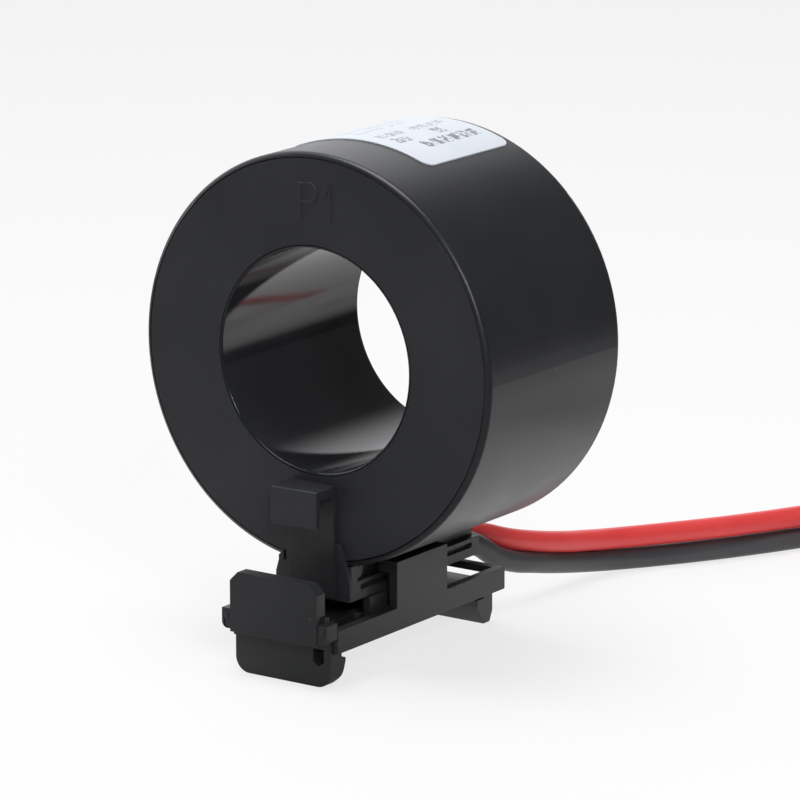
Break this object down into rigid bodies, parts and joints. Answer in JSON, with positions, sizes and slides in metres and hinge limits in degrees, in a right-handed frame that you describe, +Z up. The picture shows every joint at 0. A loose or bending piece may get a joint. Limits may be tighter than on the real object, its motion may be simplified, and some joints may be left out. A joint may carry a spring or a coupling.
{
  "type": "current transformer",
  "caption": "Ring current transformer with a window for a cable or busbar, a clip-on foot with a sliding latch for 35 mm rail, and red and black flying leads.",
  "frame": {"origin": "centre of the bore, halfway along the ring", "axes": "+Z up, away from the rail foot; Y runs along the bore, with the marked primary side P1 and the latch facing -Y; X runs along the rail"},
  "size_m": [0.095, 0.1262, 0.0703],
  "materials": {
    "housing_black": "moulded, satin outside and glossy in the bore",
    "lid_black": "moulded, fine matte",
    "foot_black": "moulded, satin",
    "core_steel": "silicon steel strip",
    "case_cream": "moulded",
    "copper_wire": "enamelled copper wire",
    "tape_amber": "polyester film tape",
    "casting_resin": "cast",
    "sleeve_black": "shrink sleeve",
    "sleeve_red": "shrink sleeve",
    "label_white": "printed film label",
    "spring_steel": "drawn wire",
    "lead_black": "extruded, soft satin",
    "lead_red": "extruded, soft satin",
    "tinned_wire": "tinned copper strands"
  },
  "bodies": {
    "transformer": {"housing_cup": "housing_black", "front_lid": "lid_black", "toroid_core": "core_steel", "core_case_shell": "case_cream", "core_case_cover": "case_cream", "secondary_winding": "copper_wire", "winding_tape": "tape_amber", "resin_fill": "casting_resin", "splice_sleeve_black": "sleeve_black", "splice_sleeve_red": "sleeve_red", "label_plate": "label_white", "saddle": "foot_black", "rail_foot": "foot_black", "latch_spring": "spring_steel", "black_lead_root": "lead_black", "red_lead_root": "lead_red", "black_lead": "lead_black", "red_lead": "lead_red", "lead_coil": "lead_red", "black_wire_end": "tinned_wire", "red_wire_end": "tinned_wire"},
    "latch": {"rail_latch": "foot_black"}
  },
  "joints": [
    {"name": "latch_slide", "type": "slide", "parent": "transformer", "child": "latch", "axis": [0, -1, 0], "range_m": [0, 0.003], "stiffness_N_per_m": 500, "springref_m": -0.004, "deforming": ["latch_spring"]}
  ]
}
